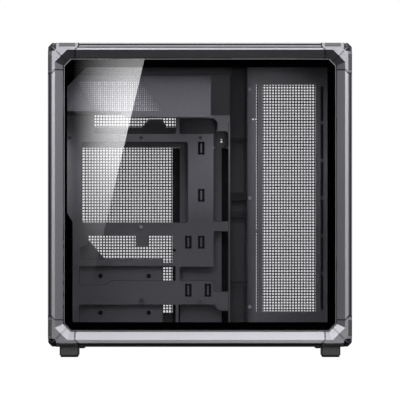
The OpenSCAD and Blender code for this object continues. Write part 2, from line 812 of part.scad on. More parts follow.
module drive_bracket_upper() {
    drive_bracket(tz(-268), tz(-213), tz(-262), tz(-219), 39 * kz);
}

module drive_bracket_lower() {
    drive_bracket(tz(-330), tz(-279), tz(-325), tz(-285), 0);
}

// Connector strip at the front of the top, with its buttons and sockets
io_c = (io_x + open_l / 2) / 2;
power_y = -62;
power_r = 7;
reset_y = -40;
reset_r = 3;
strip_z = top_z;

module io_strip() {
    color("#3a3b3f") difference() {
        slab_z(top_z - rim_t, rim_t) top_half(io_x, half_l);
        translate([io_c, power_y, top_z - rim_t - 1]) cylinder(h = rim_t + 2, r = power_r + 0.35);
        translate([io_c, reset_y, top_z - rim_t - 1]) cylinder(h = rim_t + 2, r = reset_r + 0.35);
        for (k = [-8, 14]) block(io_c - 3.6, k - 7.2, top_z - rim_t - 1, io_c + 3.6, k + 7.2, top_z + 1);
        block(io_c - 2.2, 31, top_z - rim_t - 1, io_c + 2.2, 41, top_z + 1);
        translate([io_c, 56, top_z - rim_t - 1]) cylinder(h = rim_t + 2, r = 3.4);
    }
}

// A cap that stands proud of the strip, with a flange that keeps it in its hole
module button(y, r) {
    translate([io_c, y, top_z]) {
        translate([0, 0, -rim_t - 1.9]) cylinder(h = rim_t + 1.9 + 1.5, r = r);
        translate([0, 0, -rim_t - 1.4]) cylinder(h = 1.2, r = r + 1.4);
    }
}

module power_button() {
    color("#c3c4c8") button(power_y, power_r);
}

module reset_button() {
    color("#8f9095") button(reset_y, reset_r);
}

// Sockets: a shell flush with the strip, round an insulator that lies a little deeper
module io_ports() {
    color("#101114") {
        for (k = [-8, 14]) difference() {
            block(io_c - 3.4, k - 7, top_z - 13, io_c + 3.4, k + 7, top_z);
            block(io_c - 2.6, k - 6.2, top_z - 1.2, io_c + 2.6, k + 6.2, top_z + 1);
        }
        difference() {
            block(io_c - 2, 31.2, top_z - 11, io_c + 2, 40.8, top_z);
            block(io_c - 1.3, 31.9, top_z - 1, io_c + 1.3, 40.1, top_z + 1);
        }
        translate([io_c, 56, top_z - 12]) difference() {
            cylinder(h = 12, r = 3.2);
            translate([0, 0, 4]) cylinder(h = 9, r = 1.8);
        }
    }
}

rail_top_left();
rail_top_right();
rail_bottom_left();
rail_bottom_right();
rail_rear_left();
rail_rear_right();
rail_front_left();
rail_front_right();
rail_top_rear();
rail_top_front();
rail_bottom_rear();
rail_bottom_front();
corner_top_rear_left();
corner_top_rear_right();
corner_top_front_left();
corner_top_front_right();
corner_bottom_rear_left();
corner_bottom_rear_right();
corner_bottom_front_left();
corner_bottom_front_right();
edge_pads();
foot_rear_left();
foot_rear_right();
foot_front_left();
foot_front_right();
foot_pads();
glass_pane();
glass_border();
catch_plates();
catch_blocks();
right_panel();
top_panel();
front_panel();
bottom_panel();
rear_panel();
slot_cover_1();
slot_cover_2();
slot_cover_3();
slot_cover_4();
slot_cover_5();
slot_cover_6();
slot_cover_7();
slot_screws();
motherboard_tray();
standoffs();
psu_shroud();
psu_shelf();
top_bracket();
side_fan_bracket();
fan_bracket_screws();
cable_channel();
cable_straps();
cable_cover();
drive_bracket_upper();
drive_bracket_lower();
io_strip();
power_button();
reset_button();
io_ports();
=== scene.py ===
import itertools
import math

import bpy
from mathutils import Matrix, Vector


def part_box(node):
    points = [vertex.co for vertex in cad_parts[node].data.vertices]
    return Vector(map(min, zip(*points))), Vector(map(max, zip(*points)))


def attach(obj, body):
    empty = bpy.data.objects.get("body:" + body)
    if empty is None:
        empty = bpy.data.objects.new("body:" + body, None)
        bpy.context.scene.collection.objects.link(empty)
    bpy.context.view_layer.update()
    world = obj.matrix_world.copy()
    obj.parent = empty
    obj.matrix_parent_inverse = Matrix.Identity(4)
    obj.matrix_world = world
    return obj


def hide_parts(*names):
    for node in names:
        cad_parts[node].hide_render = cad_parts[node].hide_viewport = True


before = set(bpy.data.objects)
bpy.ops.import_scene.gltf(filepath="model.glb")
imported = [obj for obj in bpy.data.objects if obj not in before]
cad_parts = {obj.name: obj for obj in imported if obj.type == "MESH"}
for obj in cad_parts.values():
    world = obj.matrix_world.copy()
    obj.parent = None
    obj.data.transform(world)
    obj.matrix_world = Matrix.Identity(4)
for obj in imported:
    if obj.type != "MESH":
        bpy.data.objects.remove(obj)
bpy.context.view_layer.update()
MM = 0.001
NEAR_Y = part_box("glass_pane")[0].y
CASE = (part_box("corner_bottom_rear_left")[0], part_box("corner_top_front_right")[1])
CASE_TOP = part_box("corner_top_rear_left")[1].z
SHROUD_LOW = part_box("psu_shroud")[0].z
SHEET_T = 1.2 * MM
CHAMFER = 7 * MM
BEVEL = 12.5 * MM


# ---------- materials ----------

def base_material(name):
    m = bpy.data.materials.new(name)
    m.use_nodes = True
    nodes = m.node_tree.nodes
    return m, nodes, m.node_tree.links, nodes["Principled BSDF"]


def surface(name, color, metallic=0.0, rough=0.5, specular=0.5, grain=0.12, scale=900.0,
            mottle=0.03):
    """A painted, moulded or metal finish, with a fine grain and a slow drift in its gloss."""
    m, nodes, links, bsdf = base_material(name)
    bsdf.inputs["Base Color"].default_value = (*color, 1)
    bsdf.inputs["Metallic"].default_value = metallic
    bsdf.inputs["Roughness"].default_value = rough
    bsdf.inputs["Specular IOR Level"].default_value = specular
    coords = nodes.new("ShaderNodeTexCoord")
    fine = nodes.new("ShaderNodeTexNoise")
    fine.inputs["Scale"].default_value = scale
    fine.inputs["Detail"].default_value = 3
    bump = nodes.new("ShaderNodeBump")
    bump.inputs["Strength"].default_value = grain
    bump.inputs["Distance"].default_value = 0.4 * MM
    links.new(coords.outputs["Object"], fine.inputs["Vector"])
    links.new(fine.outputs["Fac"], bump.inputs["Height"])
    links.new(bump.outputs["Normal"], bsdf.inputs["Normal"])
    slow = nodes.new("ShaderNodeTexNoise")
    slow.inputs["Scale"].default_value = 9
    slow.inputs["Detail"].default_value = 4
    spread = nodes.new("ShaderNodeMapRange")
    spread.inputs["To Min"].default_value = rough - mottle
    spread.inputs["To Max"].default_value = rough + mottle
    links.new(coords.outputs["Object"], slow.inputs["Vector"])
    links.new(slow.outputs["Fac"], spread.inputs["Value"])
    links.new(spread.outputs["Result"], bsdf.inputs["Roughness"])
    return m


MIX_FACTOR, MIX_A, MIX_B, MIX_RESULT = 0, 6, 7, 2


def darken(material, value, low, high, share):
    """Brings a surface's colour down to a share of itself where value is under low, and leaves it as it was
    where value is over high."""
    nodes, links = material.node_tree.nodes, material.node_tree.links
    base = nodes["Principled BSDF"].inputs["Base Color"]
    edge = nodes.new("ShaderNodeMapRange")
    edge.inputs["From Min"].default_value = low
    edge.inputs["From Max"].default_value = high
    tone = nodes.new("ShaderNodeMix")
    tone.data_type = "RGBA"
    tone.inputs[MIX_A].default_value = (*[c * share for c in base.default_value[:3]], 1)
    tone.inputs[MIX_B].default_value = base.default_value
    if base.is_linked:
        links.new(base.links[0].from_socket, tone.inputs[MIX_B])
    links.new(value, edge.inputs["Value"])
    links.new(edge.outputs["Result"], tone.inputs[MIX_FACTOR])
    links.new(tone.outputs[MIX_RESULT], base)


def painted_edge_shade(material, reach, low, high, share):
    """Paints shade into a surface's colour along its sharp edges, where pieces meet in a seam, as the shade
    that falls there. Rays go from the surface into its solid, as far as reach, and low and high are shares of
    them that meet no other face."""
    near_edge = material.node_tree.nodes.new("ShaderNodeAmbientOcclusion")
    near_edge.inside = True
    near_edge.only_local = True
    near_edge.samples = 12
    near_edge.inputs["Distance"].default_value = reach
    darken(material, near_edge.outputs["AO"], low, high, share)


def painted_shade_band(material, low, high, share, soft=0.3 * MM):
    """Paints shade into a surface's colour between two heights in the frame; soft is half the width of the
    band's edges.
    """
    nodes, links = material.node_tree.nodes, material.node_tree.links
    split = nodes.new("ShaderNodeSeparateXYZ")
    offset = nodes.new("ShaderNodeMath")
    offset.operation = "SUBTRACT"
    offset.inputs[1].default_value = (low + high) / 2
    distance = nodes.new("ShaderNodeMath")
    distance.operation = "ABSOLUTE"
    links.new(nodes["Texture Coordinate"].outputs["Object"], split.inputs[0])
    links.new(split.outputs["Z"], offset.inputs[0])
    links.new(offset.outputs[0], distance.inputs[0])
    half = (high - low) / 2
    darken(material, distance.outputs[0], half - soft, half + soft, share)


def glass(name, tint, gloss):
    """A flat tinted pane: light passes straight through, and a small share is mirrored."""
    m, nodes, links, bsdf = base_material(name)
    nodes.remove(bsdf)
    through = nodes.new("ShaderNodeBsdfTransparent")
    through.inputs["Color"].default_value = (*tint, 1)
    mirror = nodes.new("ShaderNodeBsdfGlossy")
    mirror.inputs["Roughness"].default_value = 0.0
    mix = nodes.new("ShaderNodeMixShader")
    mix.inputs[0].default_value = gloss
    links.new(through.outputs[0], mix.inputs[1])
    links.new(mirror.outputs[0], mix.inputs[2])
    links.new(mix.outputs[0], nodes["Material Output"].inputs["Surface"])
    return m


ALUMINIUM = {"metallic": 1.0, "grain": 0.07}
STEEL_SHEET = {"metallic": 0.2, "grain": 0.2, "mottle": 0.04}
# Painted shade along sharp edges and in the seams between pieces
SEAM_SHADE = {"reach": 1.6 * MM, "low": 0.55, "high": 0.8, "share": 0.12}
BELOW_ALL, ABOVE_ALL = -1, 1  # heights in metres that no part of the case reaches

FRAME_ALU = surface("frame_aluminium", (0.37, 0.365, 0.395), rough=0.42, **ALUMINIUM)
# painted shade in the rails' seams and along their sharp edges
painted_edge_shade(FRAME_ALU, **SEAM_SHADE)
painted_shade_band(FRAME_ALU, CASE_TOP - 9.2 * MM, CASE_TOP - 6.6 * MM, 0.18)  # a painted shade line under the top chamfer
BRACKET_ALU = surface("bracket_aluminium", (0.385, 0.38, 0.41), rough=0.32, **ALUMINIUM)
# painted shade in the brackets' seams and along their sharp edges
painted_edge_shade(BRACKET_ALU, **SEAM_SHADE)
PAD = surface("edge_pad", (0.05, 0.05, 0.054), grain=0.2)
FOOT = surface("foot_plastic", (0.038, 0.038, 0.041), grain=0.2)
# Painted shade along the feet's edges
painted_edge_shade(FOOT, 3 * MM, 0.55, 0.9, 0.3)
RUBBER = surface("black_rubber", (0.006, 0.006, 0.006), rough=0.8, specular=0.2)
GLASS = glass("tinted_glass", (0.92, 0.915, 0.934), 0.11)
BLACK = surface("black_border", (0.0008, 0.0008, 0.0009), rough=0.9, specular=0.0)
STEEL = surface("bright_steel", (0.5, 0.5, 0.52), metallic=1.0, rough=0.3)
DARK_PLASTIC = surface("dark_plastic", (0.019, 0.019, 0.021), grain=0.2)
STRAP = surface("woven_strap", (0.014, 0.014, 0.016), rough=0.85, grain=0.6, scale=1600)
PANEL = surface("panel_steel", (0.05, 0.05, 0.054), rough=0.45, **STEEL_SHEET)
MESH = surface("mesh_steel", (0.05, 0.05, 0.054), metallic=0.2)
CHASSIS = surface("chassis_steel", (0.2, 0.2, 0.21), **STEEL_SHEET)
TRAY = surface("tray_steel", (0.29, 0.288, 0.307), **STEEL_SHEET)
painted_shade_band(TRAY, SHROUD_LOW + 9 * MM, ABOVE_ALL, 0.3, soft=0.5 * MM)  # painted shadow of the power supply bay
painted_shade_band(TRAY, BELOW_ALL, 0.285, 0.32, soft=0.06)  # the lower half, which less light reaches
# Painted shadow lines round the tray's openings
painted_edge_shade(TRAY, 1.1 * MM, 0.7, 0.97, 0.0)
# The cable cover's steel is darker than the chassis steel: painted shade, as it lies behind the tray
SHADED_COVER = surface("cover_steel_painted_shade", (0.075, 0.074, 0.079), **STEEL_SHEET)
SHROUD = surface("shroud_steel", (0.142, 0.141, 0.153), **STEEL_SHEET)
# The drive brackets' steel is darker than the tray's: painted shade, as they lie behind the tray
SHADED_DRIVE_STEEL = surface("drive_bracket_steel_painted_shade", (0.088, 0.088, 0.094), **STEEL_SHEET)
BRACKET_STEEL = surface("bracket_steel", (0.255, 0.253, 0.27), **STEEL_SHEET)
painted_shade_band(BRACKET_STEEL, BELOW_ALL, 0.29, 0.43, soft=0.1)  # painted shade on the lower part, which less light reaches, as on the tray
# Painted light: the walls of the shroud's holes are light grey, so that the holes show as bright dots
PAINTED_LIGHT_HOLE_WALL = surface("hole_wall_painted_light", (0.75, 0.75, 0.77), metallic=0.3)
# Near black for the walls and floors sunk into the outer chamfers: painted shade
GROOVE_SHADE = surface("groove_aluminium_painted_shade", (0.02, 0.02, 0.022), metallic=0.3, rough=0.6, specular=0.2)
# The glass's ground edge, its grey a painted highlight
GLASS_EDGE_GLINT = surface("ground_glass_edge_and_glint", (0.11, 0.115, 0.12), rough=0.35)
# Near black: on the cable cover's flange it is painted shade, and the faces behind the bevels get it too
NEAR_BLACK = surface("near_black", (0.004, 0.004, 0.0044), rough=0.55, specular=0.25, grain=0.2)
SCREW = surface("black_oxide", (0.02, 0.02, 0.02), metallic=0.8, rough=0.4)
ZINC = surface("dark_zinc", (0.12, 0.12, 0.125), metallic=0.8, rough=0.45)
BUTTON = surface("button_aluminium", (0.6, 0.6, 0.62), metallic=1.0, rough=0.3)
PORT = surface("port_plastic", (0.01, 0.01, 0.011), rough=0.4)

# The first prefix that fits a node's name gives its finish
FINISHES = [
    ("rail_", FRAME_ALU), ("corner_", BRACKET_ALU), ("edge_pads", PAD), ("foot_pads", RUBBER),
    ("foot_", FOOT), ("glass_pane", GLASS), ("glass_border", BLACK), ("catch_plates", STEEL),
    ("catch_blocks", DARK_PLASTIC), ("right_panel", PANEL), ("top_panel", PANEL), ("front_panel", PANEL),
    ("bottom_panel", PANEL), ("rear_panel", PANEL), ("slot_cover_", CHASSIS), ("slot_screws", SCREW),
    ("motherboard_tray", TRAY), ("standoffs", ZINC), ("psu_shroud", SHROUD), ("psu_shelf", CHASSIS),
    ("top_bracket", PANEL), ("side_fan_bracket", BRACKET_STEEL), ("fan_bracket_screws", STEEL),
    ("cable_channel", DARK_PLASTIC), ("cable_straps", STRAP), ("cable_cover", SHADED_COVER),
    ("drive_bracket_", SHADED_DRIVE_STEEL), ("io_strip", DARK_PLASTIC), ("power_button", BUTTON),
    ("reset_button", BUTTON), ("io_ports", PORT),
]
for name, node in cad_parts.items():
    found = next(m for prefix, m in FINISHES if name.startswith(prefix))
    node.data.materials.clear()
    node.data.materials.append(found)
    for polygon in node.data.polygons:
        polygon.material_index = 0


def paint(name, material, chosen):
    """Gives another material to the polygons of a node that chosen(polygon, mesh) picks."""
    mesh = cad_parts[name].data
    mesh.materials.append(material)
    for polygon in mesh.polygons:
        if chosen(polygon, mesh):
            polygon.material_index = len(mesh.materials) - 1


def depths(point):
    """How far a point lies inside the case's outer faces, the smallest first."""
    low, high = CASE
    return sorted(min(point[i] - low[i], high[i] - point[i]) for i in range(3))


def in_lip(polygon, mesh):
    """Picks the faces of rails and brackets behind the bevel round each opening."""
    return all(depths(mesh.vertices[i].co)[0] > BEVEL - 0.2 * MM for i in polygon.vertices)


def in_groove(polygon, mesh):
    """Picks the walls and floors of what is sunk into the outer chamfers."""
    d = depths(polygon.center)
    return d[0] > 0.4 * MM and d[1] < CHAMFER + 0.2 * MM and d[0] + d[1] > CHAMFER + 0.6 * MM


def near(x, z, radius):
    """Picks the polygons that lie within a radius of an axis running straight back from the glass."""
    return lambda polygon, mesh: all(
        math.hypot(mesh.vertices[i].co.x - x, mesh.vertices[i].co.z - z) < radius
        for i in polygon.vertices)


# In millimetres: the tray's length, and from the shroud down to the upper row of stand-offs
TRAY_L = 289
SHROUD_TO_ROW = 30


def tray_point(a, b):
    """A place on the motherboard tray, as x and z. a and b are millimetres on a tray TRAY_L long, from the
    rear sheet and from the upper row of stand-offs."""
    lo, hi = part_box("motherboard_tray")
    return lo.x + a * (hi.x - lo.x) / TRAY_L, SHROUD_LOW + (b - SHROUD_TO_ROW) * MM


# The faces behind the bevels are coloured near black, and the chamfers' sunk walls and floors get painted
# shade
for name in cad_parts:
    if name.startswith(("rail_", "corner_")):
        paint(name, NEAR_BLACK, in_lip)
        paint(name, GROOVE_SHADE, in_groove)

MIDDLE_STANDOFF = (134, -155)
paint("standoffs", STEEL, near(*tray_point(*MIDDLE_STANDOFF), 6 * MM))
flange_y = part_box("side_fan_bracket")[1].y + 1 * MM
# Painted shade: the cable cover's flange behind the fan bracket is coloured near black
paint("cable_cover", NEAR_BLACK, lambda polygon, mesh: polygon.center.y > flange_y)


# ---------- helpers for meshes ----------

def add_object(name, data):
    obj = bpy.data.objects.new(name, data)
    bpy.context.scene.collection.objects.link(obj)
    return obj


def add_mesh(name, verts, faces, material, body, slot_name, *replaced):
    """A piece of the scene that rides on a body, in place of the nodes that it replaces."""
    data = bpy.data.meshes.new(name)
    data.from_pydata(verts, [], faces)
    data.validate()
    data.materials.append(material)
    obj = add_object(name, data)
    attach(obj, body)
    if replaced:
        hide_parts(*replaced)
    return obj


BOX_FACES = [(0, 3, 2, 1), (4, 5, 6, 7), (0, 1, 5, 4), (1, 2, 6, 5), (2, 3, 7, 6), (3, 0, 4, 7)]


def add_box(verts, faces, lo, hi):
    """Adds the six faces of a box between two opposite corners."""
    n = len(verts)
    for z in (lo[2], hi[2]):
        verts += [(lo[0], lo[1], z), (hi[0], lo[1], z), (hi[0], hi[1], z), (lo[0], hi[1], z)]
    faces += [tuple(n + i for i in f) for f in BOX_FACES]


def add_prism(verts, faces, outline, hole, w0, w1):
    """A flat ring round a rectangular hole; outline has eight corners, two at each corner of the hole."""
    n = len(verts)
    k = len(outline)
    for w in (w0, w1):
        verts += [(u, v, w) for u, v in outline] + [(u, v, w) for u, v in hole]
    m = k + 4
    for i in range(k):
        j = (i + 1) % k
        a, b = i // 2, j // 2
        top = [n + i, n + j] + ([n + k + b, n + k + a] if a != b else [n + k + a])
        faces.append(tuple(reversed(top)))
        faces.append(tuple(x + m for x in top))
        faces.append((n + i, n + j, n + m + j, n + m + i))
    for i in range(4):
        j = (i + 1) % 4
        faces.append((n + k + j, n + k + i, n + m + k + i, n + m + k + j))


SMALLEST_CUT = 0.4 * MM


def octagon(u0, v0, u1, v1, cuts):
    """Corners from the lower left one, anticlockwise, two at each corner, each cut by its own amount."""
    a, b, c, d = (max(cut, SMALLEST_CUT) for cut in cuts)
    return [(u0, v0 + a), (u0 + a, v0), (u1 - b, v0), (u1, v0 + b),
            (u1, v1 - c), (u1 - c, v1), (u0 + d, v1), (u0, v1 - d)]


def rectangle(u0, v0, u1, v1, inset):
    """The corners of a rectangle that lies inset within the one given, anticlockwise."""
    u0, v0, u1, v1 = u0 + inset, v0 + inset, u1 - inset, v1 - inset
    return [(u0, v0), (u1, v0), (u1, v1), (u0, v1)]


# ---------- the panels' fine square mesh ----------

def mesh_panel(name, node, body, axis, outward, cuts=(1, 1, 1, 1), corner=12.3 * MM, rim=19 * MM,
               thin_rim=7 * MM, pitch=5.0 * MM, bar=1.9 * MM):
    """The panel `node` again, with a rim and a fine square mesh. axis is the one across the sheet, outward
    says which way the face looks, and cuts says which corners are cut. The rim is one sheet thin next to the
    mesh. The bars along u lie a little behind those along v, so that no two faces meet."""
    lo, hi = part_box(node)
    u, v = [a for a in range(3) if a != axis]
    u0, v0, u1, v1 = lo[u], lo[v], hi[u], hi[v]
    face = hi[axis] if outward > 0 else lo[axis]
    back = face - outward * SHEET_T
    deep = lo[axis] if outward > 0 else hi[axis]
    verts, faces = [], []
    outline = octagon(u0, v0, u1, v1, [corner * c for c in cuts])
    add_prism(verts, faces, outline, rectangle(u0, v0, u1, v1, rim), *sorted((face, back)))
    add_prism(verts, faces, outline, rectangle(u0, v0, u1, v1, rim - thin_rim), *sorted((back, deep)))
    solid = len(faces)
    r0, s0, r1, s1 = u0 + rim, v0 + rim, u1 - rim, v1 - rim
    nu = round((r1 - r0) / pitch)
    nv = round((s1 - s0) / pitch)
    pu, pv = (r1 - r0) / nu, (s1 - s0) / nv
    overlap = 0.4 * MM

    def between(front, rear):
        """The two faces of bars that lie so many millimetres behind the face and before the sheet's back."""
        return sorted((face - outward * front * MM, back + outward * rear * MM))

    w0, w1 = between(0.25, 0.15)
    x0, x1 = between(0.32, 0.08)
    for i in range(1, nu):
        c = r0 + i * pu
        add_box(verts, faces, (c - bar / 2, s0 - overlap, w0), (c + bar / 2, s1 + overlap, w1))
    for i in range(1, nv):
        c = s0 + i * pv
        add_box(verts, faces, (r0 - overlap, c - bar / 2, x0), (r1 + overlap, c + bar / 2, x1))
    place = [0, 0, 0]
    out = []
    for p in verts:
        place[u], place[v], place[axis] = p
        out.append(tuple(place))
    obj = add_mesh(name, out, faces, PANEL, body, "panel_steel", node)
    obj.data.materials.append(MESH)
    for polygon in obj.data.polygons[solid:]:
        polygon.material_index = 1


mesh_panel("right_mesh_panel", "right_panel", "right_cover", 1, 1)
mesh_panel("top_mesh_panel", "top_panel", "top_cover", 2, 1, cuts=(1, 0, 0, 1))
mesh_panel("front_mesh_panel", "front_panel", "front_cover", 0, 1)
mesh_panel("bottom_mesh_panel", "bottom_panel", "case", 2, -1)


# ---------- the pads on the corner brackets, lying flat on the outer chamfers ----------

def chamfer_pads(start=18.6 * MM, end=45.2 * MM, proud=0.9 * MM, sunk=0.05 * MM, slope=0.7 * MM,
                 bare=0.8 * MM):
    """Low bevelled pads, three to a corner, in place of the source's. start and end are measured from the
    corner, and bare is what stays free of the chamfer on each side of a pad."""
    low, high = CASE
    half = CHAMFER * math.sqrt(2) / 2 - bare
    verts, faces = [], []
    for corner in itertools.product((0, 1), repeat=3):
        tip = Vector([(low, high)[c][i] for i, c in enumerate(corner)])
        inward = [Vector([(1 - 2 * c) * (i == j) for j in range(3)]) for i, c in enumerate(corner)]
        for axis in range(3):
            along, one, two = inward[axis], inward[(axis + 1) % 3], inward[(axis + 2) % 3]
            middle = tip + (one + two) * CHAMFER / 2
            across, out = (one - two).normalized(), -(one + two).normalized()
            n = len(verts)
            for rise, taper in ((-sunk, 0), (proud - slope, 0), (proud, slope)):
                for a, w in ((start + taper, -half + taper), (end - taper, -half + taper),
                             (end - taper, half - taper), (start + taper, half - taper)):
                    verts.append(tuple(middle + along * a + across * w + out * rise))
            for ring in (n, n + 4):
                for i in range(4):
                    j = (i + 1) % 4
                    faces.append((ring + i, ring + j, ring + 4 + j, ring + 4 + i))
            faces += [(n + 3, n + 2, n + 1, n), (n + 8, n + 9, n + 10, n + 11)]
    add_mesh("chamfer_pads", verts, faces, PAD, "case", "pads", "edge_pads")


chamfer_pads()


# ---------- the fine wire grille in the rear fan vent ----------

# The vent's centre, as a place across the case and as the height b of tray_point
FAN_Y, FAN_B = -37.53 * MM, -52


def rear_vent_grille(pitch=20 * MM, hole=15 * MM, wires=3, wire=1.1 * MM):
    """Thin bars across each opening of the fan vent in the rear sheet, the flat ones thinner than the upright
    ones, so that no two faces meet."""
    lo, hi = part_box("rear_panel")
    centre_z = tray_point(0, FAN_B)[1]
    reach = hole / 2 + 0.2 * MM
    verts, faces = [], []
    for i, j in itertools.product(range(-2, 3), repeat=2):
        y, z = FAN_Y + i * pitch, centre_z + j * pitch
        for k in range(wires):
            shift = hole * ((k + 1) / (wires + 1) - 0.5)
            add_box(verts, faces, (lo.x + 0.3 * MM, y + shift - wire / 2, z - reach),
                    (lo.x + 0.8 * MM, y + shift + wire / 2, z + reach))
            add_box(verts, faces, (lo.x + 0.35 * MM, y - reach, z + shift - wire / 2),
                    (lo.x + 0.75 * MM, y + reach, z + shift + wire / 2))
    add_mesh("rear_vent_grille", verts, faces, MESH, "case", "panel_steel")


rear_vent_grille()


# ---------- the glass's ground edge, with a painted highlight ---

def glass_edge(corner=11.2 * MM, width=1.2 * MM, slope=0.3 * MM, proud=0.1 * MM):
    """A narrow band round the front of the pane, standing a little proud of it: the pane's ground edge, its
    grey a painted highlight of the light the edge catches.
    """
    lo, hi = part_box("glass_pane")
    section = ((0, lo.y + 0.9 * MM), (slope, lo.y - proud), (width, lo.y - proud), (width, lo.y + 0.3 * MM))
    verts = [(u, y, v) for inset, y in section
             for u, v in octagon(lo.x + inset, lo.z + inset, hi.x - inset, hi.z - inset, [corner] * 4)]
    faces = []
    for r in range(4):
        a, b = 8 * r, 8 * ((r + 1) % 4)
        faces += [(a + i, a + (i + 1) % 8, b + (i + 1) % 8, b + i) for i in range(8)]
    add_mesh("glass_ground_edge_and_glint", verts, faces, GLASS_EDGE_GLINT, "glass_side", "glass")


glass_edge()


# ---------- black strips in the slots for cable ties, as painted shade ---

TIE_SLOTS = ((238.5, -18), (238.5, -100), (216, -181.5), (238.5, -181.5), (216, -265), (250, -265))
# One side of a slot as x0, x1, z0, z1 in millimetres from its middle: the long part and its two ends
SLOT_PARTS = ((2, 5.2, -10.75, 10.75), (0.6, 2, 8.25, 10.75), (0.6, 2, -10.75, -8.25))


def tie_slot_shade_strips():
    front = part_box("motherboard_tray")[1].y - SHEET_T
    verts, faces = [], []
    for a, b in TIE_SLOTS:
        x, z = tray_point(a, b)
        for s in (-1, 1):
            for x0, x1, z0, z1 in SLOT_PARTS:
                left, right = sorted((x + s * x0 * MM, x + s * x1 * MM))
                add_box(verts, faces, (left, front + 0.2 * MM, z + z0 * MM),
                        (right, front + 0.8 * MM, z + z1 * MM))
    # Black strips in the slots, standing for the shade behind them
    add_mesh("tie_slot_shade_strips", verts, faces, RUBBER, "case", "black_plastic")


tie_slot_shade_strips()


# ---------- rubber grommets in the drive brackets' rings ----------

RING_ROWS = (("drive_bracket_upper", -240.5), ("drive_bracket_lower", -304.5))
RING_COLUMNS = (63, 147)
# A grommet's section from its bore outwards, as radius and height in front of the plate in millimetres
GROMMET = ((1.3, 0.6), (1.9, 1.7), (3.4, 1.7), (3.9, 1.3), (3.9, 0.1))


def drive_grommets(sides=20):
    verts, faces = [], []
    for name, b in RING_ROWS:
        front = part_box(name)[1].y - SHEET_T
        for a in RING_COLUMNS:
            x, z = tray_point(a, b)
            n = len(verts)
            for r, y in GROMMET:
                verts += [(x + r * MM * math.cos(i * math.tau / sides), front - y * MM,
                           z + r * MM * math.sin(i * math.tau / sides)) for i in range(sides)]
            faces.append(tuple(reversed(range(n, n + sides))))
            for ring in range(len(GROMMET) - 1):
                p, q = n + ring * sides, n + (ring + 1) * sides
                for i in range(sides):
                    j = (i + 1) % sides
                    faces.append((p + i, p + j, q + j, q + i))
    add_mesh("drive_grommets", verts, faces, RUBBER, "case", "black_plastic")


drive_grommets()


# ---------- the power supply shroud with its fading field of small round holes ----------

def prism(verts, faces, corners, place, w0, w1):
    """A closed prism on a convex outline; place turns (u, v, w) into a point."""
    n, k = len(verts), len(corners)
    verts += [place(u, v, w) for w in (w0, w1) for u, v in corners]
    faces.append(tuple(n + i for i in range(k)))
    faces.append(tuple(n + k + i for i in reversed(range(k))))
    for i in range(k):
        j = (i + 1) % k
        faces.append((n + j, n + i, n + k + i, n + k + j))


HOLE_SIDES = 8


def holed_cell(verts, faces, u, v, pitch, radius, place, w0, w1, taper=0.5):
    """A square cell of sheet with a tapered hole of eight sides through it, whose walls are the last
    HOLE_SIDES of its faces."""
    n = len(verts)
    h = pitch / 2
    square = [(h, 0), (h, h), (0, h), (-h, h), (-h, 0), (-h, -h), (0, -h), (h, -h)]
    turns = [i * math.tau / HOLE_SIDES for i in range(HOLE_SIDES)]
    for w, r in ((w0, radius), (w1, radius * taper)):
        verts += [place(u + a, v + b, w) for a, b in square]
        verts += [place(u + r * math.cos(turn), v + r * math.sin(turn), w) for turn in turns]
    k = HOLE_SIDES
    ring = [(i, (i + 1) % k) for i in range(k)]
    faces += [(n + i, n + j, n + k + j, n + k + i) for i, j in ring]
    faces += [(n + 2 * k + j, n + 2 * k + i, n + 3 * k + i, n + 3 * k + j) for i, j in ring]
    faces += [(n + k + i, n + k + j, n + 3 * k + j, n + 3 * k + i) for i, j in ring]


def hole_depth(i, j):
    """How many columns the hole in column i and row j lies inside the field's two slanted ends."""
    return min(i - 0.62 * (j - 1), 0.8 * (31 + 0.75 * j - i))


def perforated_shroud(pitch=3.3 * MM, columns=46, rows=15, smallest=0.6, growth=0.75, fade=6):
    """The shroud's face. Its holes are smallest at the field's slanted ends and grow over `fade` columns;
    smallest and growth are radii in millimetres."""
    lo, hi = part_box("psu_shroud")
    left, top, step = lo.x + 33 * MM, hi.z - 9.5 * MM, lo.z + 10 * MM
    right, low = left + columns * pitch, top - rows * pitch
    knee = lo.x + 0.44 * (hi.x - lo.x)
    y0, y1 = lo.y, hi.y
    verts, faces, walls = [], [], []

    def place(u, v, w):
        return (u, w, v)

    for corners in (
        [(lo.x, step), (left, step), (left, hi.z), (lo.x, hi.z)],
        [(left, top), (right, top), (right, hi.z), (left, hi.z)],
        [(left, step), (right, step), (right, low), (left, low)],
        [(right, lo.z), (hi.x, lo.z), (hi.x, hi.z), (right, hi.z)],
        [(knee - 10 * MM, step), (knee, lo.z), (right, lo.z), (right, step)],
    ):
        prism(verts, faces, corners, place, y0, y1)
    for i in range(columns):
        for j in range(rows):
            u, v = left + (i + 0.5) * pitch, top - (j + 0.5) * pitch
            depth = hole_depth(i, j)
            if depth < 0:
                cell = rectangle(u - pitch / 2, v - pitch / 2, u + pitch / 2, v + pitch / 2, 0)
                prism(verts, faces, cell, place, y0, y1)
            else:
                size = smallest + growth * min(1, depth / fade)
                holed_cell(verts, faces, u, v, pitch, size * MM, place, y0, y1)
                walls += range(len(faces) - HOLE_SIDES, len(faces))
    shroud = add_mesh("perforated_shroud", verts, faces, SHROUD, "case", "chassis_steel", "psu_shroud")
    # the holes' walls get the painted light
    shroud.data.materials.append(PAINTED_LIGHT_HOLE_WALL)
    for i in walls:
        shroud.data.polygons[i].material_index = 1


perforated_shroud()


# ---------- stage: white surroundings, floor, lights ----------

WHITE = 1.02
EYE = (0, -3.525, 0.2584)


def stage_plane(name, size, location, rotation, material):
    bpy.ops.mesh.primitive_plane_add(size=1, location=location, rotation=rotation)
    o = bpy.context.object
    o.name = name
    o.scale = (size[0], size[1], 1)
    o.data.materials.append(material)
    return o


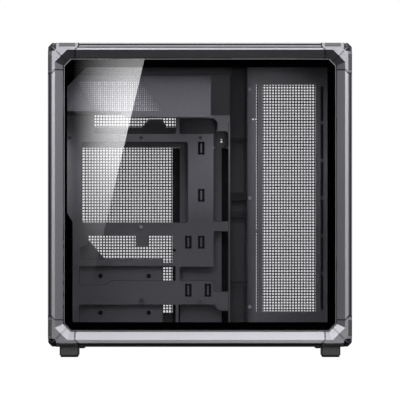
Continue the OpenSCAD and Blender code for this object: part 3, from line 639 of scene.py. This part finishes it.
def emission(name, strength):
    """A white glow, as the material and its emission node."""
    m, nodes, links, bsdf = base_material(name)
    nodes.remove(bsdf)
    e = nodes.new("ShaderNodeEmission")
    e.inputs["Color"].default_value = (1, 1, 1, 1)
    e.inputs["Strength"].default_value = strength
    links.new(e.outputs[0], nodes["Material Output"].inputs["Surface"])
    return m, e


def only_camera(o):
    """Keeps an object that the camera sees out of the lighting and the mirror images."""
    o.visible_diffuse = o.visible_glossy = o.visible_transmission = o.visible_shadow = False


def only_mirrored(o):
    """Keeps an object out of everything but mirror images."""
    o.visible_camera = o.visible_diffuse = o.visible_transmission = o.visible_shadow = False


white, _ = emission("white_surroundings", WHITE)
bpy.ops.mesh.primitive_uv_sphere_add(segments=32, ring_count=16, radius=40)
dome = bpy.context.object
dome.name = "surroundings"
dome.data.materials.append(white)
only_camera(dome)
dome.visible_volume_scatter = False

floor_m, _, _, bsdf = base_material("floor_white")
bsdf.inputs["Base Color"].default_value = (0, 0, 0, 1)
bsdf.inputs["Roughness"].default_value = 0.9
bsdf.inputs["Specular IOR Level"].default_value = 0.0
bsdf.inputs["Emission Color"].default_value = (1, 1, 1, 1)
bsdf.inputs["Emission Strength"].default_value = WHITE
only_camera(stage_plane("floor", (60, 60), (0, 0, 0), (0, 0, 0), floor_m))

# The world's grey levels from straight below, at 0, to straight above, at 1
WORLD_LOW, WORLD_MID, WORLD_HIGH = 0.05, 0.27, 1.1
WORLD_STEPS = ((0.38, WORLD_LOW), (0.48, WORLD_MID), (0.62, WORLD_MID), (0.84, WORLD_HIGH))
world = bpy.data.worlds.new("studio")
bpy.context.scene.world = world
world.use_nodes = True
nodes, links = world.node_tree.nodes, world.node_tree.links
coords = nodes.new("ShaderNodeTexCoord")
split = nodes.new("ShaderNodeSeparateXYZ")
ramp = nodes.new("ShaderNodeValToRGB")
height = nodes.new("ShaderNodeMapRange")
height.inputs["From Min"].default_value = -1
links.new(coords.outputs["Generated"], split.inputs[0])
links.new(split.outputs["Z"], height.inputs["Value"])
links.new(height.outputs["Result"], ramp.inputs["Fac"])
links.new(ramp.outputs["Color"], nodes["Background"].inputs["Color"])
ramp.color_ramp.elements[0].color = (*[WORLD_LOW] * 3, 1)
ramp.color_ramp.elements[1].color = (*[WORLD_HIGH] * 3, 1)
for place, level in WORLD_STEPS:
    ramp.color_ramp.elements.new(place).color = (level, level, level, 1)
nodes["Background"].inputs["Strength"].default_value = 1.0


def area(name, size, location, target, power):
    light = bpy.data.lights.new(name, "AREA")
    light.shape = "RECTANGLE"
    light.size, light.size_y = size
    light.energy = power
    o = add_object(name, light)
    o.location = location
    o.rotation_euler = (Vector(target) - Vector(location)).to_track_quat("-Z", "Y").to_euler()
    o.visible_camera = False


MIDDLE = (0, 0, 0.25)
area("softbox", (1.9, 0.4), (0.1, -1.05, 1.02), MIDDLE, 13)
area("high_front", (1.9, 0.4), (0.1, -0.75, 1.35), (0, 0, 0.2), 13)
area("front_wide_left", (1.1, 1.8), (-1.75, -4.6, 0.7), MIDDLE, 20)
area("front_wide_right", (1.1, 1.8), (1.75, -4.6, 0.7), MIDDLE, 34)
area("high_left", (0.8, 0.8), (-1.7, 0.1, 1.9), MIDDLE, 12)
area("high_right", (0.8, 0.8), (1.7, 0.5, 1.9), MIDDLE, 15)
area("side_right", (1.0, 1.6), (2.4, -0.2, 0.35), MIDDLE, 1.6)
area("back_left", (1.2, 1.6), (-2.2, 2.6, 1.3), MIDDLE, 15)
area("back_right", (1.2, 1.6), (2.2, 2.6, 1.3), MIDDLE, 15)

# A black card behind the camera, so that the glass mirrors nothing bright there but the glare card
black_m, _, _, bsdf = base_material("black_card")
bsdf.inputs["Base Color"].default_value = (0, 0, 0, 1)
bsdf.inputs["Specular IOR Level"].default_value = 0.0
bsdf.inputs["Roughness"].default_value = 1.0
only_mirrored(stage_plane("dark_card", (1.4, 1.4), (0, -5.3, EYE[2]), (math.pi / 2, 0, 0), black_m))

# The card that the glass mirrors as a slanted bright band: a soft light with one straight, sharp edge.
# Along that edge it is brightest at GLARE_CENTRE, and across it the light fades to nothing at FADE_X.
CARD_Y = NEAR_Y - 0.7
EDGE_TOP, EDGE_LOW = (-0.098, 0.589), (-0.216, 0.089)
FADE_X, FADE_POWER = -0.251, 1.5
GLARE, GLARE_CENTRE, GLARE_SPREAD = 4.1, 0.32, 0.3
ROWS, COLUMNS = 24, 12
verts, faces, levels = [], [], []
for row in range(ROWS + 1):
    down = row / ROWS
    edge_x, z = (top + (low - top) * down for top, low in zip(EDGE_TOP, EDGE_LOW))
    along = math.exp(-((down - GLARE_CENTRE) / GLARE_SPREAD) ** 2)
    for col in range(COLUMNS + 1):
        share = 1 - col / COLUMNS
        verts.append((FADE_X + (edge_x - FADE_X) * share, CARD_Y, z))
        levels.append(GLARE * along * math.sin(share * math.pi / 2) ** FADE_POWER)
        if row and col:
            n = row * (COLUMNS + 1) + col
            faces.append((n, n - 1, n - 2 - COLUMNS, n - 1 - COLUMNS))
data = bpy.data.meshes.new("glare_card")
data.from_pydata(verts, [], faces)
layer = data.attributes.new("shade", "FLOAT", "POINT")
layer.data.foreach_set("value", levels)
card_m, glow = emission("card", 1.0)
shade = card_m.node_tree.nodes.new("ShaderNodeAttribute")
shade.attribute_name = "shade"
card_m.node_tree.links.new(shade.outputs["Fac"], glow.inputs["Strength"])
data.materials.append(card_m)
card = add_object("glare_card", data)
only_mirrored(card)

camera = bpy.data.cameras.new("camera")
camera.lens = 186.6
camera.sensor_width = 36
camera.clip_end = 100
cam = add_object("camera", camera)
cam.location = EYE
cam.rotation_euler = (math.pi / 2, 0, 0)
bpy.context.scene.camera = cam
bpy.context.scene.view_settings.view_transform = "Standard"
